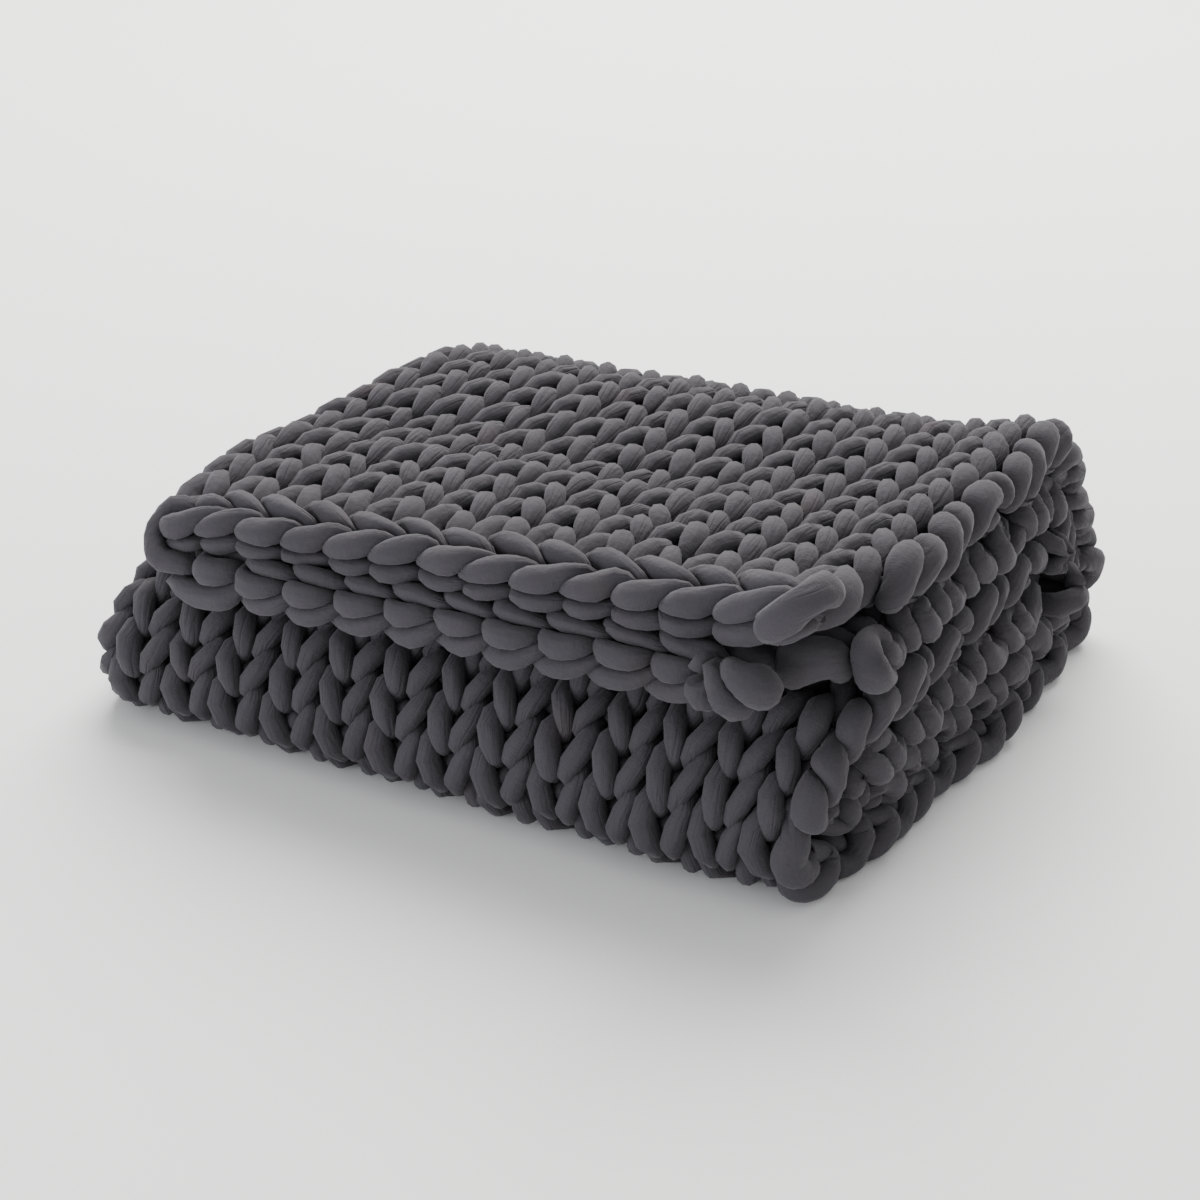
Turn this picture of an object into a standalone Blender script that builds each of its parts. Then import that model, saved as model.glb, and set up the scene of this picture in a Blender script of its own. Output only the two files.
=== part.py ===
"""Weighted blanket, hand-knitted from stuffed tube yarn, folded and stacked. Metres, +Z up.

One cloth: doubled over at the left end (-X), then turned in three lengths, top, bottom and middle,
round the back and round the front. The solid is the sheet itself with its real thickness and folds.
"""
import math

import bmesh
import bpy
import numpy as np

NAME = "weighted_blanket"

# Cloth
WALE = 0.044                 # width of one column of stitches
COURSE = 0.0339              # height of one row of stitches
WALES = 28                   # stitches across the cloth
THICK = 0.035                # of the knitted sheet
SPACING = 0.0375             # between the mid faces of the doubled sheet
NEUTRAL = 0.004              # unstretched line, from the mid face to the knit side
RIGHT_END = 0.612            # selvedges, from the left end of the stack
CREST_SINK = 0.0045          # where one stitch tucks under the next
GROOVE_SINK = 0.0090         # between the legs of the stitches
EDGE_BULGE = 0.016           # roundness of the edges
SCALLOP = 0.012              # how far the edge loops stand out
UNDERSIDE_FLAT = 0.0004

# Fold line of the doubled sheet seen from the right end:
# length, turn in degrees, inset of the left end at the start of the row, rows of stitches modelled
FOLDS = (
    ("top, front part", 0.1200, 0, 0.033, True),
    ("top, middle part", 0.1200, 0, 0.020, True),
    ("top, back part", 0.1140, 0, 0.050, True),
    ("shoulder", 0.0576, 55, 0.065, True),
    ("back", 0.0900, 0, 0.048, True),
    ("heel", 0.0818, 125, 0.012, True),
    ("bottom", 0.3725, 0, -0.014, False),
    ("front", 0.1194, 180, -0.030, True),
    ("middle", 0.3100, 0, -0.006, False),
)
HEEL, BOTTOM, FRONT, MIDDLE = 5, 6, 7, 8
END_INSET = 0.020
START_Y = 0.006              # front edge of the top length
SMOOTH = 0.020               # eases the bends into the straights
SAMPLES = 6000

# Settling of the stack
LEFT_SQUASH = 0.215          # the doubled end lies lower
BACK_EASE = 0.10             # and less so at the back
BACK_SQUASH = 0.12           # the back lies lower
BACK_FROM, BACK_TO = 0.30, 0.46
INNER_LEAD = 0.012           # the inner sheet comes out further at the front edge
INNER_TAIL = 0.025           # and goes in further at the hidden end

# How far the selvedges lie in from the right end: distance along the fold line, and inset there
RIGHT_INSET_AT = (0.30, 0.412, 0.50, 0.57, 0.65, 0.72, 0.77, 0.83, 0.91, 0.97, 1.00, 1.035, 1.075)
RIGHT_INSET = (0, 0.006, 0.013, 0.013, 0.007, 0, 0.004, 0.010, 0.013, 0.020, 0.030, 0.010, 0)

# Slack of the outer sheet low in the two folds: fold, place from its floor side, reach, size
SLACK = (("heel", HEEL, -0.030, 0.026, 0.013), ("front", BOTTOM, 0.030, 0.028, 0.020))

# Local shapes: sheet position across (wales) and along (m), size across and along, move y, z
BUMPS = (
    ("raised corner", 0.3, 0.00, 0.050, 0.035, -0.026, 0.022),
    ("back corner", 0.3, 0.38, 0.040, 0.045, 0.004, 0.008),
    ("selvedge ridge", 0.2, 0.20, 0.030, 0.200, 0.000, 0.007),
    ("knotted tail", 26.5, 0.00, 0.026, 0.022, -0.018, -0.004),
    ("hollow beside the knot", 27.8, 0.00, 0.022, 0.030, 0.022, 0.003),
    ("hollow of the top", 6.8, 0.20, 0.220, 0.055, 0.000, -0.008),
    ("the sheet under the hollow", 21.1, 0.20, 0.220, 0.055, 0.000, -0.007),
)

# Columns across the sheet, in wales
FLAT_OUTER = (0, 4, 9)
FLAT_OUTER_FRONT = (0, 0.7, 1.6, 2.6, 4, 9)
ROUND_THE_FOLD = (13.2, 13.53, 13.86, 14.19, 14.52, 14.84)
FLAT_INNER = (19, 24, 28)
FLAT_INNER_FRONT = (19, 24, 25.6, 26.5, 27.2, 28)
FRONT_ROWS = 6               # half rows that have the front's columns
FOLD_STITCHES = (53, 60)     # quarter wales, stitches round the left fold
RIM_COLUMNS = 4              # per wale along the two front edges
RIM_ANGLES = (36, 74, 98, 142)
RIM_DENT = (1.20, 0.72, 0.95, 1.45)


def fold_path():
    """Distance along the fold line, and its y, z and direction there."""
    ends = np.cumsum([f[1] for f in FOLDS])
    bend = np.array([math.radians(f[2]) / f[1] for f in FOLDS])
    s = np.linspace(0.0, ends[-1], SAMPLES)
    step = s[1] - s[0]
    curve = bend[np.minimum(np.searchsorted(ends, s, side="right"), len(FOLDS) - 1)]
    half = int(SMOOTH / step)
    weight = np.hanning(2 * half + 1)
    curve = np.convolve(np.pad(curve, half, mode="edge"), weight / weight.sum(), mode="valid")
    turn = np.r_[0.0, np.cumsum((curve[1:] + curve[:-1]) / 2 * step)]
    mid = (turn[1:] + turn[:-1]) / 2
    y = START_Y + np.r_[0.0, np.cumsum(np.cos(mid) * step)]
    z = -np.r_[0.0, np.cumsum(np.sin(mid) * step)]
    lowest = z[np.searchsorted(s, ends[BOTTOM] - 0.15)]
    z = z - lowest + (SPACING + THICK) / 2
    # outer sheet's own length, which the stitches follow
    reach = SPACING / 2 + NEUTRAL
    outer = np.r_[0.0, np.cumsum((1 + reach * (curve[1:] + curve[:-1]) / 2) * step)]
    return s, y, z, turn, outer


S, PATH_Y, PATH_Z, TURN, OUTER = fold_path()
LENGTH = S[-1]
COURSES = int(OUTER[-1] / COURSE)
FOLD_RADIUS = SPACING / 2
ACROSS = WALES * WALE
FOLD_LENGTH = math.pi * (FOLD_RADIUS + NEUTRAL)
FLAT = (ACROSS - FOLD_LENGTH) / 2
ENDS = np.cumsum([f[1] for f in FOLDS])
INSET_AT = np.r_[0.0, ENDS]
INSET = np.array([f[3] for f in FOLDS] + [END_INSET])


def ease(t):
    t = min(max(t, 0.0), 1.0)
    return t * t * (3 - 2 * t)


def place(u, s, d):
    """Point of the folded stack: u across the sheet, s along the fold line, d to the knit side."""
    inner = ease((u - FLAT) / FOLD_LENGTH)
    s_here = s - INNER_LEAD * inner * ease(1 - s / 0.06)
    s_here += INNER_TAIL * inner * ease((s - LENGTH) / 0.10 + 1)
    at = min(max(s_here, 0.0), LENGTH)
    over = s_here - at
    y, z, turn = (float(np.interp(at, S, line)) for line in (PATH_Y, PATH_Z, TURN))
    y += over * math.cos(turn)
    z -= over * math.sin(turn)
    left = FOLD_RADIUS + THICK / 2
    if u < FLAT:
        x, n = FLAT - u, FOLD_RADIUS + d
    elif u < FLAT + FOLD_LENGTH:
        a = math.pi * (u - FLAT) / FOLD_LENGTH
        x, n = -(FOLD_RADIUS + d) * math.sin(a), (FOLD_RADIUS + d) * math.cos(a)
    else:
        x, n = u - FLAT - FOLD_LENGTH, -FOLD_RADIUS - d
    for _, fold, along, reach, size in SLACK:
        n += size * (1 - inner) * math.exp(-((s_here - ENDS[fold] - along) / reach) ** 2)
    x = left + x * (RIGHT_END - left) / FLAT
    y += n * math.sin(turn)
    z += n * math.cos(turn)
    rest = 1 - min(max(x / RIGHT_END, 0.0), 1.0)
    x += rest * float(np.interp(at, INSET_AT, INSET))
    x -= (1 - rest) ** 4 * float(np.interp(at, RIGHT_INSET_AT, RIGHT_INSET))
    squash = 1 - rest * (LEFT_SQUASH - BACK_EASE * ease(y / BACK_TO))
    z *= squash * (1 - BACK_SQUASH * ease((y - BACK_FROM) / (BACK_TO - BACK_FROM)))
    for _, wale, along, wide, deep, move_y, move_z in BUMPS:
        far = ((u - wale * WALE) / wide) ** 2 + ((s - along) / deep) ** 2
        if far < 9:
            y += move_y * math.exp(-far)
            z += move_z * math.exp(-far)
    return x, y, (0.0 if z < UNDERSIDE_FLAT else z)


def rows_along():
    """Half courses: distance along the fold line, and whether stitches are raised there."""
    rows = []
    for k in range(2 * COURSES + 1):
        s = float(np.interp(OUTER[-1] * k / (2 * COURSES), OUTER, S))
        fold = int(min(np.searchsorted(ENDS, s, side="right"), len(FOLDS) - 1))
        into_middle = fold == MIDDLE and s < ENDS[FRONT] + COURSE
        rows.append((s, FOLDS[fold][4] or into_middle, k % 3 == 0 or FOLDS[fold][2] > 0))
    return rows


def flat_columns(k):
    """Wales of the plain columns of the outer and of the inner sheet."""
    if k <= FRONT_ROWS:
        return FLAT_OUTER_FRONT, FLAT_INNER_FRONT
    return FLAT_OUTER, FLAT_INNER


def knit_row(k, along, pitch):
    """One row of the knit face: (u, s, d) for each of its columns."""
    s, raised, _ = along[k]
    outer, inner = flat_columns(k)
    level = k + 1 == len(along) or not (along[k - 1][1] and along[k + 1][1])
    row = []
    if not raised:
        row = [(w * WALE, s, THICK / 2) for w in outer]
    for j in range(0 if raised else FOLD_STITCHES[0], FOLD_STITCHES[1] + 1):
        if j % 2:
            shift, sink = -0.10, (0.0 if k % 2 else CREST_SINK)
        else:
            shift, sink = (0.22 if j % 4 == 0 else -0.22), GROOVE_SINK
        if j <= FOLD_STITCHES[0] and (level or not raised):
            shift, sink = 0.0, 0.0
        row.append((j * WALE / 4, s + shift * pitch, THICK / 2 - sink))
    return row + [(w * WALE, s, THICK / 2) for w in inner]


def purl_row(k, s):
    """One row of the purl face."""
    outer, inner = flat_columns(k)
    return [(w * WALE, s, -THICK / 2) for w in outer + ROUND_THE_FOLD + inner]


def rim_row(s):
    """First row: one column in four to a wale on both sheets, so that both edges are scalloped."""
    return [(j * WALE / RIM_COLUMNS, s, THICK / 2 - (0.3 * GROOVE_SINK if j % 4 in (0, 3) else 0))
            for j in range(WALES * RIM_COLUMNS + 1)]


def border(rows):
    """The rim of a face as a closed loop of (u, s, d, out across, out along, place round it)."""
    loop = []
    last = len(rows) - 1
    for i, (u, s, d) in enumerate(rows[0]):
        corner = -1 if i == 0 else (1 if i == len(rows[0]) - 1 else 0)
        loop.append((u, s, d, corner, -1, u / ACROSS))
    for row in rows[1:]:
        u, s, d = row[-1]
        loop.append((u, s, d, 1, 1 if row is rows[last] else 0, 1 + s / LENGTH))
    for u, s, d in reversed(rows[last][:-1]):
        loop.append((u, s, d, -1 if u == 0 else 0, 1, 3 - u / ACROSS))
    for row in reversed(rows[1:-1]):
        u, s, d = row[0]
        loop.append((u, s, d, -1, 0, 4 - s / LENGTH))
    return loop


class Skin:
    """Collects points and the strips of faces between rows of them."""

    def __init__(self):
        self.points, self.faces = [], []

    def row(self, coords):
        first = len(self.points)
        self.points.extend(place(*c) for c in coords)
        return list(range(first, len(self.points)))

    def strip(self, a, at_a, b, at_b, closed=False):
        """Triangles between two rows of unlike counts, in step with where their points lie."""
        if closed:
            a, at_a = a + a[:1], at_a + [at_a[0] + 4]
            b, at_b = b + b[:1], at_b + [at_b[0] + 4]
        i = j = 0
        while i < len(a) - 1 or j < len(b) - 1:
            if j == len(b) - 1 or (i < len(a) - 1 and at_a[i + 1] <= at_b[j + 1]):
                self.faces.append((a[i], a[i + 1], b[j]))
                i += 1
            else:
                self.faces.append((a[i], b[j + 1], b[j]))
                j += 1


def sheet():
    """The whole cloth as one closed skin."""
    skin = Skin()
    along = rows_along()
    pitch = LENGTH / COURSES
    knit = [rim_row(along[0][0])] + [knit_row(k, along, pitch) for k in range(1, len(along))]
    purl = [purl_row(k, s) for k, (s, _, kept) in enumerate(along) if kept]
    sides = []
    for face, flip in ((knit, False), (purl, True)):
        ids = [skin.row(row) for row in face]
        start = len(skin.faces)
        for k in range(len(face) - 1):
            at = [[c[0] for c in face[m]] for m in (k, k + 1)]
            skin.strip(ids[k], at[0], ids[k + 1], at[1])
        if flip:
            skin.faces[start:] = [f[::-1] for f in skin.faces[start:]]
        lasts = ids[-1][:-1][::-1]
        loop = ids[0] + [r[-1] for r in ids[1:]] + lasts + [r[0] for r in reversed(ids[1:-1])]
        sides.append((loop, border(face)))
    (outer, rim), (inner, purl_rim) = sides
    before, at_before = outer, [p[5] for p in rim]
    for angle, dent in zip(RIM_ANGLES, RIM_DENT):
        a = math.radians(angle)
        ring = []
        for u, s, _, across, lengthwise, at in rim:
            front_loop = 0.5 - 0.5 * math.cos(2 * math.pi * u / WALE)
            side_loop = 0.5 - 0.5 * math.cos(math.pi * float(np.interp(s, S, OUTER)) / COURSE)
            out = EDGE_BULGE - SCALLOP + SCALLOP * (front_loop if across == 0 else side_loop)
            out *= math.sin(a) * dent * (0.75 if across and lengthwise else 1)
            ring.append((u + across * out, s + lengthwise * out, THICK / 2 * math.cos(a)))
        ids = skin.row(ring)
        skin.strip(ids, at_before, before, at_before, closed=True)
        before = ids
    skin.strip(inner, [p[5] for p in purl_rim], before, at_before, closed=True)
    return skin


def main():
    for ob in list(bpy.data.objects):
        bpy.data.objects.remove(ob, do_unlink=True)
    coll = bpy.data.collections.new(NAME)
    bpy.context.scene.collection.children.link(coll)
    mat = bpy.data.materials.new("charcoal_jersey")
    mat.use_nodes = True
    shader = mat.node_tree.nodes["Principled BSDF"]
    shader.inputs["Base Color"].default_value = (0.07, 0.068, 0.074, 1)
    shader.inputs["Roughness"].default_value = 0.95
    skin = sheet()
    points = np.array(skin.points)
    low, high = points.min(axis=0), points.max(axis=0)
    points -= ((low[0] + high[0]) / 2, (low[1] + high[1]) / 2, 0.0)
    mesh = bpy.data.meshes.new("blanket")
    mesh.from_pydata([tuple(p) for p in points], [], skin.faces)
    bm = bmesh.new()
    bm.from_mesh(mesh)
    bmesh.ops.recalc_face_normals(bm, faces=bm.faces)
    bm.to_mesh(mesh)
    bm.free()
    mesh.materials.append(mat)
    ob = bpy.data.objects.new("blanket", mesh)
    coll.objects.link(ob)


main()
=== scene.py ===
"""Looks of the folded weighted blanket: every loop of its stuffed jersey tube, laid along the folded cloth.

The knitting is worked out on the flat cloth: u across its wales, c along its courses and d to its knit
side. The centre lines are laid through the same folds as the CAD solid. Each tube is then blown up until
it meets its neighbours, the layers beside it or the floor, which gives the plump legs and thin creases.
"""
import math

import bpy
import numpy as np
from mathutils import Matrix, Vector


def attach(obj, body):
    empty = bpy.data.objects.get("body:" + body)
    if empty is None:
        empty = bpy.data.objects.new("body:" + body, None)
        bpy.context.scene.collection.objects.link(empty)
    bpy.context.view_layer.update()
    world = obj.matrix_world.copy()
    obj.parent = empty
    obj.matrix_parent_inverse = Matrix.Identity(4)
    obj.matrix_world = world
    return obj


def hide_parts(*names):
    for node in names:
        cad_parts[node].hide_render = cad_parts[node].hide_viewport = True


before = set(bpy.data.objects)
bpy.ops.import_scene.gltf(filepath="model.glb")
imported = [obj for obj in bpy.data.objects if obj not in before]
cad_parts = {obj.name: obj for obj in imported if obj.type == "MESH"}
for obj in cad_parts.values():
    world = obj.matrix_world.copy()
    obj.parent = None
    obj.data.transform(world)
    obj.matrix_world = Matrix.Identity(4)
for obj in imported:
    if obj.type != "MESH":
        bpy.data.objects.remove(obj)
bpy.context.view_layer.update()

# ---------------------------------------------------------------- the folded stack, as in the CAD part
THICK, SPACING, NEUTRAL = 0.035, 0.0375, 0.004   # one sheet, from sheet to sheet, and its unstretched line
CREST = 0.0085                                   # reach at which the courses are evenly spaced
RIGHT_END, ACROSS = 0.612, 1.232
FOLDS = (  # length, turn in degrees, inset of the left end where the row starts
    ("top, front part", 0.1200, 0, 0.033), ("top, middle part", 0.1200, 0, 0.020),
    ("top, back part", 0.1140, 0, 0.050), ("shoulder", 0.0576, 55, 0.065), ("back", 0.0900, 0, 0.048),
    ("heel", 0.0818, 125, 0.012), ("bottom", 0.3725, 0, -0.014), ("front", 0.1194, 180, -0.030),
    ("middle", 0.3100, 0, -0.006),
)
HEEL, BOTTOM = 5, 6
END_INSET = 0.020
LEAD_OVER, TAIL_OVER, EVEN_OVER = 0.06, 0.10, 0.30   # lengths and width over which the inner sheet shifts
START_Y, SMOOTH, SAMPLES = 0.006, 0.020, 6000    # of the fold line: its start, how its turns blend in
ON_FLOOR = 0.15                                  # where the bottom length rests, before its end
# how much lower the stack is at the left (less so at the back), and at the back, from one y to another
LEFT_SQUASH, BACK_EASE, BACK_SQUASH, BACK_FROM, BACK_TO = 0.215, 0.10, 0.12, 0.30, 0.46
# how far the right end lies in, along the fold line
RIGHT_INSET_AT = (0.30, 0.412, 0.50, 0.57, 0.65, 0.72, 0.77, 0.83, 0.91, 0.97, 1.00, 1.035, 1.075)
RIGHT_INSET = (0, 0.006, 0.013, 0.013, 0.007, 0, 0.004, 0.010, 0.013, 0.020, 0.030, 0.010, 0)
INNER_LEAD, INNER_TAIL = 0.012, 0.025
SLACK = (  # fold, length past it, reach, how far the outer sheet is from its place
    (HEEL, -0.030, 0.026, 0.013), (BOTTOM, 0.030, 0.028, 0.020),
)
BUMPS = (  # u, s, wide, deep, move in y, move in z
    (0.0132, 0.00, 0.050, 0.035, -0.026, 0.022), (0.0132, 0.38, 0.040, 0.045, 0.004, 0.008),
    (0.0088, 0.20, 0.030, 0.200, 0.000, 0.007), (1.1660, 0.00, 0.026, 0.022, -0.018, -0.004),
    (1.2232, 0.00, 0.022, 0.030, 0.022, 0.003), (0.3000, 0.20, 0.220, 0.055, 0.000, -0.008),
    (0.9300, 0.20, 0.220, 0.055, 0.000, -0.007),
    (0.5800, 0.00, 0.035, 0.035, 0.000, -0.008), (0.0040, 0.98, 0.030, 0.035, 0.006, 0.005),
)
CENTRE_X, CENTRE_Y = 0.30095559, 0.23683220      # middle of the solid's outline

# ---------------------------------------------------------------- the yarn and its stitches
WALES, COURSES = 28, 45
FIRST_U, LEFT_U, LAST_U = 0.009, 0.654, 1.223    # middles of the first wale, wale 14.5 and the last wale
FIRST_C, TOP_C, LAST_C = 0.051, 0.3722, 1.5228   # courses 0, 10 and 44: 32 mm apart on top, then 34 mm
TOP_COURSES = 10
WALE = 0.0445
TUBE, CHAIN_TUBE = 0.0144, 0.0122                # radius of the yarn, and where the edge chain is tight
LEAN, REACH, LIFT = 0.0088, 0.0285, 0.0050       # the loop's swing across, along and through the cloth
SIDED, FULLER = -0.0002, 0.07                    # how the two legs of a loop differ, in height and size
PER_STITCH, AROUND, CHAIN_AROUND = 26, 16, 24    # samples along a stitch, and round a tube
LEG_DENSER = 0.055                               # how much closer together the samples are on the legs
DRIFT_U, DRIFT_C, DRIFT_D = 0.0016, 0.0020, 0.0008   # how far the knitting strays from an even grid
ODD_LEAN, ODD_U, ODD_REACH, ODD_D, ODD_SIZE = 0.14, 0.0012, 0.04, 0.0010, 0.05   # from stitch to stitch
MOST_ODD = 1.8
TURN_INSET = 0.40                                # where a turn leaves the head of the last loop, in wales
TURN_SAMPLES, CHAIN_SAMPLES, END_SAMPLES = 5, 4, 3   # between two control points
FATTER, FATTER_SCALE = 0.03, 1.7                 # slow change of the tube's size along the cloth
BEYOND_LAST = 0.040                              # from the last course to the chain of the last edge
FIRST_SHOWN, LAST_SHOWN, FRONT_SHOWN, FOLD_SHOWN = 0.10, 0.11, 0.06, 0.05   # widths of what can be seen
PAST_HEEL, BEFORE_FRONT, PAST_FRONT = 0.03, 0.02, 0.03   # lengths of cloth round what can't be seen
SPLIT_FROM, SPLIT_TO = 0.90, 1.00                # across the inner sheet, where a piece passes to the next
GAP = 0.0004                                     # left between tubes that touch
OWN, SEARCH, BLOCK = 0.019, 2.3, 24              # own length left out, search reach, rings solved at once
FAR = 9.0                                        # further than any neighbour
ROUND = 5                                        # how sharply a pressed side meets a free one
PLUMP, BULGE, THINNEST = 1.04, 0.25, 0.10        # size of a free tube, more when squeezed, and the least
SOFT_ROUNDS, SOFTNESS = 2, 0.20                  # how the solved skin is evened out
END_LEAST = 0.02                                 # share of its radius squared at the tip of a closed end
UP_STEP = 0.002                                  # step to the cloth's knit side, to find its way up
FLOOR, LOWEST = 0.0004, 0.001                    # lowest point of a skin, and least height of a centre line
rng = np.random.default_rng(11)


def ease(t):
    t = np.clip(t, 0.0, 1.0)
    return t * t * (3 - 2 * t)


def fold_path():
    """The fold line seen from the open end, and the lengths of the outer and inner cloth along it."""
    ends = np.cumsum([f[1] for f in FOLDS])
    bend = np.array([math.radians(f[2]) / f[1] for f in FOLDS])
    s = np.linspace(0.0, ends[-1], SAMPLES)
    step = s[1] - s[0]
    curve = bend[np.minimum(np.searchsorted(ends, s, side="right"), len(FOLDS) - 1)]
    half = int(SMOOTH / step)
    weight = np.hanning(2 * half + 1)
    curve = np.convolve(np.pad(curve, half, mode="edge"), weight / weight.sum(), mode="valid")

    def total(f):
        return np.r_[0.0, np.cumsum((f[1:] + f[:-1]) / 2 * step)]

    turn = total(curve)
    y = START_Y + total(np.cos(turn))
    z = -total(np.sin(turn))
    z += (SPACING + THICK) / 2 - z[np.searchsorted(s, ends[BOTTOM] - ON_FLOOR)]
    return s, y, z, turn, total(1 + (SPACING / 2 + CREST) * curve), total(1 - SPACING / 2 * curve)


S, PATH_Y, PATH_Z, TURN, OUTER, INNER = fold_path()
LENGTH = S[-1]
ENDS = np.cumsum([f[1] for f in FOLDS])
INSET_AT, INSET = np.r_[0.0, ENDS], np.array([f[3] for f in FOLDS] + [END_INSET])
FOLD_R = SPACING / 2                             # of the doubled cloth's fold at the left
FOLD_LENGTH = math.pi * (FOLD_R + NEUTRAL)
FLAT = (ACROSS - FOLD_LENGTH) / 2
IN_FIELD, TALLEST = 12, 3.5                      # waves summed for one field, and about their highest sum
WAVES = [(rng.uniform(0.07, 0.16), rng.uniform(0, math.pi), rng.uniform(0, 2 * math.pi))
         for _ in range(3 * IN_FIELD)]


def waver(u, c, field):
    """Smooth unevenness of hand knitting, about -1 to 1, in one of three fields."""
    waves = WAVES[field * IN_FIELD:(field + 1) * IN_FIELD]
    return sum(np.sin(2 * math.pi / length * (u * math.cos(way) + c * math.sin(way)) + phase)
               for length, way, phase in waves) / TALLEST


def place(flat):
    """Points of the flat cloth (u, c, d), laid through the folds."""
    u, c, d = np.moveaxis(np.asarray(flat, float), -1, 0)
    u, c, d = (u + DRIFT_U * waver(u, c, 0), c + DRIFT_C * waver(u, c, 1),
               d + DRIFT_D * waver(u, c, 2))
    inner = ease((u - FLAT) / FOLD_LENGTH)
    even = ease((u - FLAT - FOLD_LENGTH) / EVEN_OVER)
    past = np.minimum(c, 0) + np.maximum(c - OUTER[-1], 0)
    s_outer = np.interp(c, OUTER, S) + past
    s_inner = np.interp(c * INNER[-1] / OUTER[-1], INNER, S) + past
    s = s_outer + (s_inner - s_outer) * even
    s = s - INNER_LEAD * inner * ease(1 - s / LEAD_OVER)
    s = s + INNER_TAIL * inner * ease((s - LENGTH) / TAIL_OVER + 1)
    at = np.clip(s, 0.0, LENGTH)
    y, z, turn = (np.interp(at, S, line) for line in (PATH_Y, PATH_Z, TURN))
    y = y + (s - at) * np.cos(turn)
    z = z - (s - at) * np.sin(turn)
    left = FOLD_R + THICK / 2
    a = math.pi * np.clip((u - FLAT) / FOLD_LENGTH, 0, 1)
    x = np.where(u < FLAT, FLAT - u, np.where(u < FLAT + FOLD_LENGTH, -(FOLD_R + d) * np.sin(a),
                                              u - FLAT - FOLD_LENGTH))
    n = (FOLD_R + d) * np.cos(a)
    for fold, beyond, reach, size in SLACK:
        n = n + size * (1 - inner) * np.exp(-((s - ENDS[fold] - beyond) / reach) ** 2)
    x = left + x * (RIGHT_END - left) / FLAT
    y = y + n * np.sin(turn)
    z = z + n * np.cos(turn)
    rest = 1 - np.clip(x / RIGHT_END, 0, 1)
    x = x + rest * np.interp(at, INSET_AT, INSET)
    x = x - (1 - rest) ** 4 * np.interp(at, RIGHT_INSET_AT, RIGHT_INSET)
    squash = 1 - rest * (LEFT_SQUASH - BACK_EASE * ease(y / BACK_TO))
    z = z * squash * (1 - BACK_SQUASH * ease((y - BACK_FROM) / (BACK_TO - BACK_FROM)))
    for bump_u, bump_s, wide, deep, move_y, move_z in BUMPS:
        g = np.exp(-((u - bump_u) / wide) ** 2 - ((s - bump_s) / deep) ** 2)
        y = y + move_y * g
        z = z + move_z * g
    return np.stack([x - CENTRE_X, y - CENTRE_Y, z], -1)


def across(wale):
    """Place across the cloth, u, of a place in wales."""
    return np.interp(wale, (-1, 0.5, WALES / 2 + 0.5, WALES - 0.5, WALES + 1),
                     (FIRST_U - 1.5 * WALE, FIRST_U, LEFT_U, LAST_U, LAST_U + 1.5 * WALE))


def along(course):
    """Place along the cloth, c, of a place in courses."""
    return np.interp(course, (0, TOP_COURSES, COURSES - 1), (FIRST_C, TOP_C, LAST_C))


# ---------------------------------------------------------------- centre lines on the flat cloth
def through(points, per):
    """Smooth line through control points, per samples between each two."""
    p = np.array(points, float)
    p = np.vstack([2 * p[0] - p[1], p, 2 * p[-1] - p[-2]])
    t = (np.arange(per) / per)[:, None]
    out = []
    for a, b, c, d in zip(p[:-3], p[1:-2], p[2:-1], p[3:]):
        out.append(0.5 * (2 * b + (c - a) * t + (2 * a - 5 * b + 4 * c - d) * t ** 2
                          + (3 * b - a - 3 * c + d) * t ** 3))
    return np.vstack(out + [p[-2:-1]])


def stitch_times(start, stop):
    """Times along a row of loops, 2 pi to a stitch, closer together on the legs."""
    k = np.arange(round(start * PER_STITCH), round(stop * PER_STITCH)) / PER_STITCH
    return 2 * math.pi * (k - LEG_DENSER * np.sin(4 * math.pi * k))


UNEVEN = np.clip(rng.normal(size=(COURSES + 2, WALES + 2, 5)), -MOST_ODD, MOST_ODD)


def row(k, start, stop):
    """Loops of course k between two places in wales, from the first edge on: u, c, d, size."""
    t = stitch_times(start, stop)
    wale = t / (2 * math.pi)
    at = np.clip((wale + 0.5).astype(int), 0, WALES + 1)
    mix = (wale + 0.5 - at)[:, None]
    odd = UNEVEN[k, at] * (1 - ease(mix)) + UNEVEN[k, np.minimum(at + 1, WALES + 1)] * ease(mix)
    lean = LEAN * (1 + ODD_LEAN * odd[:, 0])
    u = across(wale) + lean * np.sin(2 * t) + ODD_U * odd[:, 1]
    c = along(k) - REACH * (1 + ODD_REACH * odd[:, 2]) * np.cos(t)
    d = -LIFT * np.cos(2 * t) + SIDED * np.sin(t) + ODD_D * odd[:, 3]
    return np.stack([u, c, d, 1 + ODD_SIZE * odd[:, 4] - FULLER * np.sin(t)], -1)


TURN_ROUND = (  # half of the turn at an edge, from the head of the loop to behind it: outwards, c, d, size
    (0.0126, 0.0165, 0.0030, 0.82), (0.0142, 0.0060, 0.0066, 0.90), (0.0158, -0.0060, 0.0048, 0.92),
    (0.0168, -0.0150, -0.0022, 0.83), (0.0150, -0.0185, -0.0085, 0.74), (0.0124, -0.0150, -0.0122, 0.68),
)
TURN_MIDDLE = (0.0110, -0.0150, -0.0134, 0.66)   # between its halves, behind the edge
UNEVEN_TURN = (0.0016, 0.0014, 0.0018, 0.08, 0.10)   # from turn to turn: outwards, c, d, size, slant
PAIRED = 0.0052                                  # how much closer together the two legs of a turn lie


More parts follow.
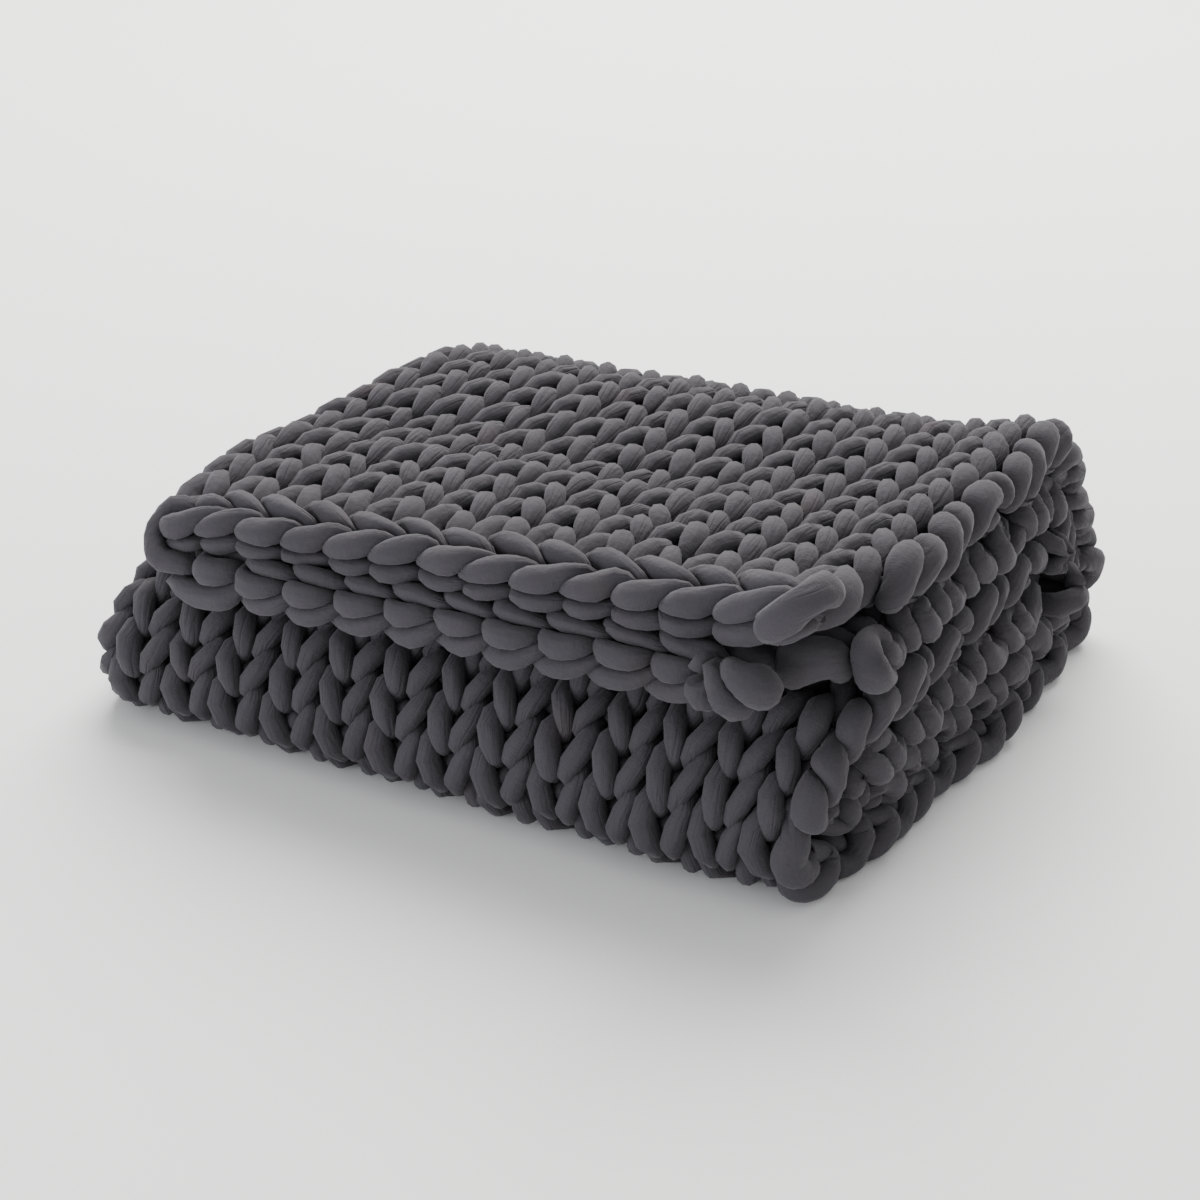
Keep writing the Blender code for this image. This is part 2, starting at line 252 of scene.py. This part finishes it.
def turn_round(k, edge):
    """From course k to the next: its outer leg wraps round the edge, then up behind and round again."""
    u0 = across(0.5 if edge == 0 else WALES - 0.5)
    out = -1 if edge == 0 else 1

    def wrap(course, nearer):
        odd = UNEVEN[course, 0 if edge == 0 else WALES + 1] * UNEVEN_TURN
        return [(u0 + out * (x + odd[0] + odd[4] * c), along(course) + c + nearer + odd[1],
                 d + odd[2], size * (1 + odd[3])) for x, c, d, size in TURN_ROUND]

    x, c, d, size = TURN_MIDDLE
    middle = (u0 + out * x, along(k + 0.5) + c, d, size)
    return through(wrap(k, PAIRED) + [middle] + wrap(k + 1, -PAIRED)[::-1], TURN_SAMPLES)


OVER_LINK = (  # chain on the outer cloth: to the right, c, d. Back strand, head, front strand, bead below
    (0.0330, 0.0040, 0.0010), (0.0240, 0.0065, 0.0075), (0.0100, 0.0115, 0.0115),
    (-0.0100, 0.0172, 0.0128), (-0.0250, 0.0195, 0.0095), (-0.0315, 0.0120, 0.0045),
    (-0.0315, 0.0025, 0.0035), (-0.0275, -0.0066, 0.0050), (-0.0150, -0.0092, 0.0062),
    (0.0000, -0.0080, 0.0078), (0.0120, -0.0035, 0.0090), (0.0230, 0.0010, 0.0080),
    (0.0300, 0.0045, 0.0030), (0.0270, 0.0070, -0.0030), (0.0180, 0.0010, -0.0060),
    (0.0070, -0.0066, -0.0068), (-0.0090, -0.0092, -0.0075), (-0.0235, -0.0080, -0.0075),
    (-0.0315, 0.0000, -0.0058), (-0.0260, 0.0065, -0.0015),
)
UNDER_LINK = (  # chain on the inner cloth: strand below, head, leaf above, bead in front
    (-0.0350, 0.0060, 0.0115), (-0.0210, -0.0010, 0.0150), (-0.0050, -0.0055, 0.0142),
    (0.0110, -0.0055, 0.0095), (0.0225, -0.0010, 0.0035), (0.0290, 0.0060, -0.0010),
    (0.0290, 0.0090, -0.0060), (0.0210, 0.0040, -0.0100), (0.0070, 0.0005, -0.0130),
    (-0.0090, 0.0015, -0.0155), (-0.0220, 0.0070, -0.0150), (-0.0270, 0.0090, -0.0060),
    (-0.0235, -0.0030, -0.0008), (-0.0120, -0.0080, -0.0005), (0.0020, -0.0078, -0.0010),
    (0.0130, -0.0030, -0.0005), (0.0175, 0.0055, 0.0030), (0.0160, 0.0110, 0.0080),
)
FIRST_LINK, LINK, OVER_LINKS = 0.0183, 0.0424, 14
NEARER_LAST = 0.012                              # how much nearer the last link of the outer chain is
FIRST_UNDER, UNDER_PITCH, UNDER_LINKS = 0.7050, 0.0463, 10
UNEVEN_LINK = (0.0009, 0.0009, 0.0008, 0.04)     # from point to point of both chains: u, c, d, size
CORNER = (  # the leaf at the corner, where the yarn starts, and its way back under it: u, c, d, size
    (0.0065, 0.0215, 0.0105, 1.25), (0.0100, 0.0125, 0.0092, 1.4), (0.0155, 0.0030, 0.0060, 1.45),
    (0.0230, -0.0055, 0.0025, 1.35), (0.0320, -0.0110, -0.0015, 1.2), (0.0375, -0.0075, -0.0065, 0.9),
    (0.0340, 0.0010, -0.0105, 0.85), (0.0270, -0.0005, -0.0110, 0.9), (0.0200, 0.0020, -0.0070, 1.0),
    (0.0150, 0.0080, -0.0020, 1.0),
)
CORNER_REACH, CORNER_OVER = 0.013, 0.03          # how much longer the strands beside the corner are
BEND = (  # from the upper chain round the fold to the lower one: u, c, d, size
    (0.5740, 0.0150, 0.0060, 0.85), (0.5790, 0.0160, 0.0130, 0.85), (0.5850, 0.0100, 0.0150, 0.85),
    (0.5890, 0.0000, 0.0110, 0.85), (0.5940, -0.0060, 0.0040, 0.85), (0.6080, -0.0080, -0.0050, 0.85),
    (0.6330, -0.0075, -0.0078, 0.85), (0.6580, -0.0060, -0.0072, 0.8), (0.6700, -0.0020, -0.0030, 0.75),
    (0.6640, 0.0020, 0.0060, 0.7), (0.6610, -0.0030, 0.0110, 0.8), (0.6690, -0.0060, 0.0150, 0.95),
    (0.6810, -0.0080, 0.0175, 1.05), (0.6960, -0.0080, 0.0178, 1.05), (0.7085, -0.0065, 0.0160, 1.0),
    (0.7200, -0.0040, 0.0105, 1.0), (0.7285, -0.0005, 0.0045, 0.9), (0.7340, 0.0060, 0.0000, 0.9),
    (0.7330, 0.0100, -0.0080, 0.9), (0.7200, 0.0100, -0.0110, 0.9), (0.7050, 0.0105, -0.0120, 0.85),
    (0.6900, 0.0110, -0.0110, 0.85), (0.6830, 0.0080, -0.0070, 0.9), (0.6850, -0.0030, -0.0035, 1.05),
    (0.6960, -0.0080, -0.0035, 1.1), (0.7080, -0.0075, -0.0035, 1.05), (0.7180, -0.0030, -0.0025, 1.0),
    (0.7225, 0.0055, 0.0020, 0.9), (0.7210, 0.0110, 0.0080, 0.9),
)
KNOT = (  # the knotted end of the yarn: u, c, d, size
    (1.1450, 0.0080, 0.0030, 0.85), (1.1500, 0.0010, -0.0070, 0.8), (1.1490, -0.0100, -0.0105, 0.85),
    (1.1460, -0.0165, -0.0050, 1.0), (1.1446, -0.0170, 0.0030, 1.1), (1.1446, -0.0155, 0.0105, 1.0),
    (1.1500, -0.0060, 0.0125, 0.75), (1.1600, 0.0000, 0.0040, 0.6), (1.1570, -0.0060, -0.0090, 0.55),
    (1.1520, -0.0190, -0.0105, 0.6), (1.1600, -0.0225, -0.0060, 1.0), (1.1665, -0.0225, 0.0010, 1.25),
    (1.1710, -0.0195, 0.0065, 1.25), (1.1745, -0.0110, 0.0060, 0.9), (1.1710, -0.0070, -0.0040, 0.7),
    (1.1660, -0.0150, -0.0125, 0.7), (1.1750, -0.0215, -0.0090, 1.0), (1.1850, -0.0215, -0.0050, 1.3),
    (1.1935, -0.0190, -0.0020, 1.35), (1.2010, -0.0150, -0.0010, 1.3),
)


def start_chain():
    """Chain of links along the first edge, round the fold at the left, to the knotted tail: u, c, d, size."""
    points = list(CORNER)
    for k in range(1, OVER_LINKS):
        longer = CORNER_REACH if k == 1 else 0.0
        at = FIRST_LINK + k * LINK - (NEARER_LAST if k == OVER_LINKS - 1 else 0.0)
        points += [(at - x - longer * ease(x / CORNER_OVER), c, d, 1.0) for x, c, d in OVER_LINK]
    points += list(BEND)
    for k in range(1, UNDER_LINKS):
        points += [(FIRST_UNDER + k * UNDER_PITCH + x, c, d, 1.0) for x, c, d in UNDER_LINK]
    points = np.array(points + list(KNOT))
    odd = np.clip(rng.normal(size=points.shape), -MOST_ODD, MOST_ODD)
    return points + odd * UNEVEN_LINK


def end_chain(edge_c):
    """Plain chain along the last edge, which lies inside the stack."""
    points = []
    for k in range(WALES):
        points += [(across(k + 0.5) - x, edge_c - c, d) for x, c, d in OVER_LINK]
    return points


def main_yarn():
    """The knitted yarn, row after row, back and forth: u, c, d, size, and the course of each sample."""
    parts = []
    for k in range(COURSES):
        line = row(k, TURN_INSET, WALES - TURN_INSET)
        parts.append(line[::-1] if k % 2 else line)
        if k < COURSES - 1:
            parts.append(turn_round(k, 0 if k % 2 else 1))
    return np.vstack(parts), np.concatenate([np.full(len(part), i / 2) for i, part in enumerate(parts)])


def ring_steps(u, c):
    """Every how many samples a ring is kept: each one where it shows, fewer under and inside the stack."""
    s = np.interp(c, OUTER, S)
    shown = (u < FLAT + FOLD_LENGTH) | (u > ACROSS - LAST_SHOWN) | (c < FRONT_SHOWN)
    under = (s > ENDS[HEEL] + PAST_HEEL) & (s < ENDS[BOTTOM] - BEFORE_FRONT)
    inside = s > ENDS[BOTTOM + 1] + PAST_FRONT
    side = (u < FIRST_SHOWN) | (u > ACROSS - LAST_SHOWN)
    side |= (u > FLAT - FOLD_SHOWN) & (u < FLAT + FOLD_LENGTH)
    return np.where(~shown, 3, np.where((under | inside) & ~side, 2, 1))


yarns = []      # name, flat line, radius, samples kept as rings


def add_yarn(name, line, radius, steps):
    keep = np.zeros(len(line), bool)
    since = math.inf
    for i, step in enumerate(np.broadcast_to(steps, len(line))):
        since += 1
        if since >= step:
            keep[i], since = True, 0
    keep[0] = keep[-1] = True
    yarns.append((name, line, np.broadcast_to(radius, len(line)).copy(), keep))


rows, COURSE = main_yarn()
fatter = 1 + FATTER * waver(rows[:, 0] * FATTER_SCALE, rows[:, 1] * FATTER_SCALE, 0)
add_yarn("rows", rows[:, :3], TUBE * rows[:, 3] * fatter, ring_steps(rows[:, 0], rows[:, 1]))
chain = through(start_chain(), CHAIN_SAMPLES)
add_yarn("start_edge", chain[:, :3], CHAIN_TUBE * chain[:, 3], 2)
add_yarn("end_edge", through(end_chain(LAST_C + BEYOND_LAST), END_SAMPLES), CHAIN_TUBE, 3)


# ---------------------------------------------------------------- blowing up the tubes
def unit(v):
    return v / (np.linalg.norm(v, axis=-1, keepdims=True) + 1e-12)


def lay(line):
    """A flat line in space, with its length so far and its side and up vectors."""
    p = place(line)
    up = unit(place(line + [0, 0, UP_STEP]) - p)
    tangent = unit(np.gradient(p, axis=0))
    side = unit(np.cross(tangent, up))
    at = np.r_[0, np.cumsum(np.linalg.norm(np.diff(p, axis=0), axis=1))]
    return p, at, side, np.cross(side, tangent)


laid = [lay(line) for _, line, _, _ in yarns]
ALL = np.vstack([p for p, _, _, _ in laid]).astype(np.float32)
OWNER = np.concatenate([np.full(len(p), i) for i, (p, _, _, _) in enumerate(laid)])
SO_FAR = np.concatenate([at for _, at, _, _ in laid]).astype(np.float32)


def closed_ends(at, radius):
    """Radius that rounds off the two ends of a yarn."""
    end = np.minimum(at - at[0], at[-1] - at)
    return radius * np.sqrt(np.clip(1 - (1 - np.minimum(end / radius, 1)) ** 2, END_LEAST, 1))


def blow_up(i, around):
    """Distance from yarn i to its skin, each way round: half way to the next centre line, or its radius."""
    (p, at, side, up), (_, _, radius, keep) = laid[i], yarns[i]
    p, at, side, up, radius = p[keep], at[keep], side[keep], up[keep], closed_ends(at, radius)[keep]
    angle = np.arange(around)[None, :, None] / around * 2 * math.pi
    ways = np.cos(angle) * side[:, None] + np.sin(angle) * up[:, None]
    free = np.zeros((len(p), around))
    for a in range(0, len(p), BLOCK):
        q, w = p[a:a + BLOCK], ways[a:a + BLOCK]
        lo, hi = q.min(0) - SEARCH * TUBE, q.max(0) + SEARCH * TUBE
        near = np.flatnonzero(((ALL > lo) & (ALL < hi)).all(1))
        v = ALL[near][None] - q[:, None]
        room = (v ** 2).sum(-1) - GAP ** 2
        room[(OWNER[near] == i)[None] & (np.abs(SO_FAR[near][None] - at[a:a + BLOCK, None]) < OWN)] = FAR
        toward = np.einsum("rad,rnd->ran", w, v) + GAP
        bound = np.where(toward > 1e-5, room[:, None] / (2 * np.maximum(toward, 1e-5)), FAR)
        free[a:a + BLOCK] = bound.min(-1)
    down = np.maximum(-ways[..., 2], 1e-6)
    free = np.minimum(free, np.maximum(p[:, None, 2] - FLOOR, LOWEST) / down)
    squeezed = 1 - np.minimum(free, radius[:, None]).mean(1) / radius
    fuller = (radius * (PLUMP + BULGE * squeezed))[:, None]
    reach = (np.maximum(free, 1e-4) ** -ROUND + fuller ** -ROUND) ** (-1 / ROUND)
    reach = np.maximum(reach, THINNEST * radius[:, None])
    return p, at, ways, soften(reach), radius


def soften(f):
    """Distances evened out, round the tube and then along it."""
    for _ in range(SOFT_ROUNDS):
        f = f * (1 - 2 * SOFTNESS) + SOFTNESS * (np.roll(f, 1, 1) + np.roll(f, -1, 1))
        g = f.copy()
        g[1:-1] = f[1:-1] * (1 - 2 * SOFTNESS) + SOFTNESS * (f[2:] + f[:-2])
        f = g
    return f


def tube(name, p, at, ways, reach, radius):
    """Mesh of a tube, with how far it is along and round the yarn, and how hard it is pinched."""
    rings, sides = reach.shape
    points = (p[:, None] + ways * reach[..., None]).reshape(-1, 3)
    points[:, 2] = np.maximum(points[:, 2], FLOOR)
    points = np.vstack([points, p[0], p[-1]])
    a = np.arange(rings - 1)[:, None] * sides
    j = np.arange(sides)[None]
    k = (j + 1) % sides
    quads = np.stack([a + j, a + sides + j, a + sides + k, a + k], -1).reshape(-1, 4)
    ends = [[len(points) - 2, x, (x + 1) % sides] for x in range(sides)]
    last = (rings - 1) * sides
    ends += [[len(points) - 1, last + (x + 1) % sides, last + x] for x in range(sides)]
    mesh = bpy.data.meshes.new(name)
    mesh.from_pydata(points.tolist(), [], quads.tolist() + ends)
    mesh.shade_smooth()
    uv = np.zeros((len(mesh.loops), 2), np.float32)
    corners = quads.ravel()
    uv[:quads.size, 0] = np.repeat(at, sides)[corners]
    uv[:quads.size, 1] = np.tile(np.arange(sides) / sides, rings)[corners]
    # the last quad of each ring closes it, at a whole turn
    uv[:quads.size, 1] += np.tile(np.r_[np.zeros((sides - 1) * 4), [0, 0, 1, 1]], rings - 1)
    uv[quads.size:, 0] = np.r_[np.full(sides * 3, at[0]), np.full(sides * 3, at[-1])]
    mesh.uv_layers.new(name="yarn").data.foreach_set("uv", uv.ravel())
    tight = 1 - np.clip(reach.mean(1) / radius, 0, 1)
    # how hard each point is pressed on a neighbour; the material darkens it there as painted shade in the
    # seams
    pressed = (1 - np.clip(reach / radius[:, None], 0, 1)).ravel()
    for label, values in (("pinch", np.repeat(tight, sides)), ("press", pressed)):
        attribute = mesh.attributes.new(label, "FLOAT", "POINT")
        attribute.data.foreach_set("value", np.r_[values, 0.0, 0.0].astype(np.float32))
    obj = bpy.data.objects.new(name, mesh)
    bpy.context.scene.collection.objects.link(obj)
    return obj


def piece(obj, mat):
    obj.data.materials.append(mat)
    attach(obj, "root")
    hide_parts("blanket")


# ---------------------------------------------------------------- materials
RIBS, RIB_STITCH = 64, 0.0017                    # the jersey's ribs round the tube, and its stitch length


def charcoal_jersey():
    """Fine cotton jersey: ribs along the yarn, creases where it is pinched, uneven dye and painted shade in
    the seams between strands.
    """
    mat = bpy.data.materials.new("charcoal jersey tube")
    mat.use_nodes = True
    nodes, links = mat.node_tree.nodes, mat.node_tree.links
    shader = nodes["Principled BSDF"]
    shader.inputs["Roughness"].default_value = 0.86
    shader.inputs["Specular IOR Level"].default_value = 0.25
    shader.inputs["Sheen Weight"].default_value = 0.10
    shader.inputs["Sheen Roughness"].default_value = 0.45
    shader.inputs["Sheen Tint"].default_value = (0.80, 0.78, 0.84, 1)

    def math_node(kind, first, second):
        node = nodes.new("ShaderNodeMath")
        node.operation = kind
        for i, value in enumerate((first, second)):
            if isinstance(value, (int, float)):
                node.inputs[i].default_value = value
            else:
                links.new(value, node.inputs[i])
        return node.outputs[0]

    def noise(vector, scale, detail=2.0, rough=0.5):
        node = nodes.new("ShaderNodeTexNoise")
        node.inputs["Scale"].default_value = scale
        node.inputs["Detail"].default_value = detail
        node.inputs["Roughness"].default_value = rough
        links.new(vector, node.inputs["Vector"])
        return node.outputs["Fac"]

    def ramp(value, low, high, start=0.0, end=1.0):
        node = nodes.new("ShaderNodeMapRange")
        node.interpolation_type = "SMOOTHSTEP"
        for key, number in (("From Min", low), ("From Max", high), ("To Min", start), ("To Max", end)):
            node.inputs[key].default_value = number
        links.new(value, node.inputs["Value"])
        return node.outputs["Result"]

    uv = nodes.new("ShaderNodeUVMap")
    uv.uv_map = "yarn"
    split = nodes.new("ShaderNodeSeparateXYZ")
    links.new(uv.outputs["UV"], split.inputs[0])
    along_it, round_it = split.outputs["X"], split.outputs["Y"]
    place_at = nodes.new("ShaderNodeTexCoord").outputs["Object"]

    def attribute(name):
        node = nodes.new("ShaderNodeAttribute")
        node.attribute_name = name
        return node.outputs["Fac"]

    pinch, press = attribute("pinch"), attribute("press")

    def stretched(per_metre, per_turn):
        """Points round the yarn as a circle, so that noise has no seam, drawn out along it."""
        angle = math_node("MULTIPLY", round_it, 2 * math.pi)
        node = nodes.new("ShaderNodeCombineXYZ")
        links.new(math_node("MULTIPLY", along_it, per_metre), node.inputs[0])
        for i, kind in ((1, "COSINE"), (2, "SINE")):
            links.new(math_node("MULTIPLY", math_node(kind, angle, 0.0), per_turn), node.inputs[i])
        return node.outputs[0]

    # heights: creases run along the yarn and fan out of each pinch; ribs and stitches of the jersey
    creases = noise(stretched(14, 1.35), 1.0, 2.0, 0.5)
    folds = ramp(math_node("ABSOLUTE", math_node("SUBTRACT", creases, 0.5), 0.0), 0.0, 0.07)
    soft = noise(stretched(34, 1.1), 1.0, 2.0)
    strength = ramp(pinch, 0.22, 0.62, 0.0, 0.6)
    crumple = noise(place_at, 240.0, 3.0, 0.6)
    ribs = math_node("SINE", math_node("MULTIPLY", round_it, 2 * math.pi * RIBS), 0.0)
    stitches = math_node("SINE", math_node("MULTIPLY", along_it, 2 * math.pi / RIB_STITCH), 0.0)
    height = math_node("MULTIPLY", math_node("MULTIPLY", folds, strength), 0.0012)
    for relief, deep in ((soft, 0.0024), (crumple, 0.0007), (ribs, 0.00003), (stitches, 0.00002)):
        height = math_node("ADD", height, math_node("MULTIPLY", relief, deep))
    bump = nodes.new("ShaderNodeBump")
    bump.inputs["Strength"].default_value = 1.0
    bump.inputs["Distance"].default_value = 1.0
    links.new(height, bump.inputs["Height"])
    links.new(bump.outputs["Normal"], shader.inputs["Normal"])

    # colour: charcoal with a breath of violet, uneven dye, heather specks and painted shade in the seams
    # between strands
    dye = noise(place_at, 9.0, 2.0)
    blush = ramp(noise(place_at, 16.0, 1.0), 0.62, 0.85)
    specks = noise(place_at, 900.0, 1.0)
    mix = nodes.new("ShaderNodeMix")
    mix.data_type = "RGBA"
    mix.inputs[6].default_value = (0.0445, 0.0413, 0.0478, 1)
    mix.inputs[7].default_value = (0.0520, 0.0431, 0.0478, 1)
    links.new(blush, mix.inputs[0])
    value = math_node("ADD", math_node("MULTIPLY", dye, 0.34), 0.83)
    value = math_node("MULTIPLY", value, math_node("ADD", math_node("MULTIPLY", specks, 0.24), 0.88))
    # painted shade: darker where the skin is pressed on a neighbour, standing in for the shade in the seams
    # between strands
    value = math_node("MULTIPLY", value, ramp(press, 0.24, 0.58, 1.0, 0.40))
    tone = nodes.new("ShaderNodeHueSaturation")
    links.new(value, tone.inputs["Value"])
    links.new(mix.outputs[2], tone.inputs["Color"])
    links.new(tone.outputs[0], shader.inputs["Base Color"])
    return mat


JERSEY = charcoal_jersey()


# ---------------------------------------------------------------- the pieces
LENGTHS = (("top", 9), ("back", 18), ("bottom", 29), ("front", 36), ("middle", COURSES))   # up to this course


def cut_rows():
    """The knitted yarn as one piece to each length of the folded cloth, each starting where the last ends."""
    p, at, ways, reach, radius = blow_up(0, AROUND)
    _, line, _, kept = yarns[0]
    course, u = COURSE[kept], line[kept, 0]
    start = 0
    for name, stop in LENGTHS:
        past = np.flatnonzero((course >= stop) & (u > SPLIT_FROM) & (u < SPLIT_TO))
        end = past[0] if len(past) else len(p) - 1
        cut = slice(start, end + 1)
        piece(tube(name, p[cut], at[cut], ways[cut], reach[cut], radius[cut]), JERSEY)
        start = end


cut_rows()
for i, around in ((1, CHAIN_AROUND), (2, AROUND)):
    piece(tube(yarns[i][0], *blow_up(i, around)), JERSEY)

# ---------------------------------------------------------------- floor, lights and camera
scene = bpy.context.scene


def pale_floor(half=6.0):
    mesh = bpy.data.meshes.new("floor")
    mesh.from_pydata([(-half, -half, 0), (half, -half, 0), (half, half, 0), (-half, half, 0)], [],
                     [(0, 1, 2, 3)])
    obj = bpy.data.objects.new("floor", mesh)
    scene.collection.objects.link(obj)
    mat = bpy.data.materials.new("pale floor")
    mat.use_nodes = True
    shader = mat.node_tree.nodes["Principled BSDF"]
    shader.inputs["Base Color"].default_value = (0.945, 0.945, 0.945, 1)
    shader.inputs["Roughness"].default_value = 0.9
    shader.inputs["Specular IOR Level"].default_value = 0.1
    mesh.materials.append(mat)


def soft_light(name, place_at, target, size, power, tint):
    """Rectangular light of this width and depth, turned towards its target."""
    light = bpy.data.lights.new(name, "AREA")
    light.shape, light.size, light.size_y = "RECTANGLE", size[0], size[1]
    light.energy, light.color = power, tint
    obj = bpy.data.objects.new(name, light)
    obj.location = place_at
    obj.rotation_mode = "QUATERNION"
    obj.rotation_quaternion = (Vector(target) - Vector(place_at)).to_track_quat("-Z", "Y")
    scene.collection.objects.link(obj)


pale_floor()
soft_light("overhead", (-0.8, 2.2, 2.8), (0, 0, 0.1), (3.4, 3.0), 370, (1.0, 0.992, 0.965))
soft_light("front", (-1.3, -3.0, 0.6), (0, 0, 0.1), (2.5, 1.0), 66, (0.91, 0.94, 1.0))
world = bpy.data.worlds.new("studio")
world.use_nodes = True
world.node_tree.nodes["Background"].inputs["Color"].default_value = (1, 1, 1, 1)
world.node_tree.nodes["Background"].inputs["Strength"].default_value = 0.75
scene.world = world

camera = bpy.data.cameras.new("camera")          # fitted to the corners and edges in the photo
camera.sensor_width, camera.lens = 36.0, 83.64
camera.clip_start, camera.clip_end = 0.05, 50
eye = bpy.data.objects.new("camera", camera)
eye.location = (0.98911, -1.72112, 1.04665)
eye.rotation_euler = (math.radians(63.65), 0, math.radians(29.96))
scene.collection.objects.link(eye)
scene.camera = eye
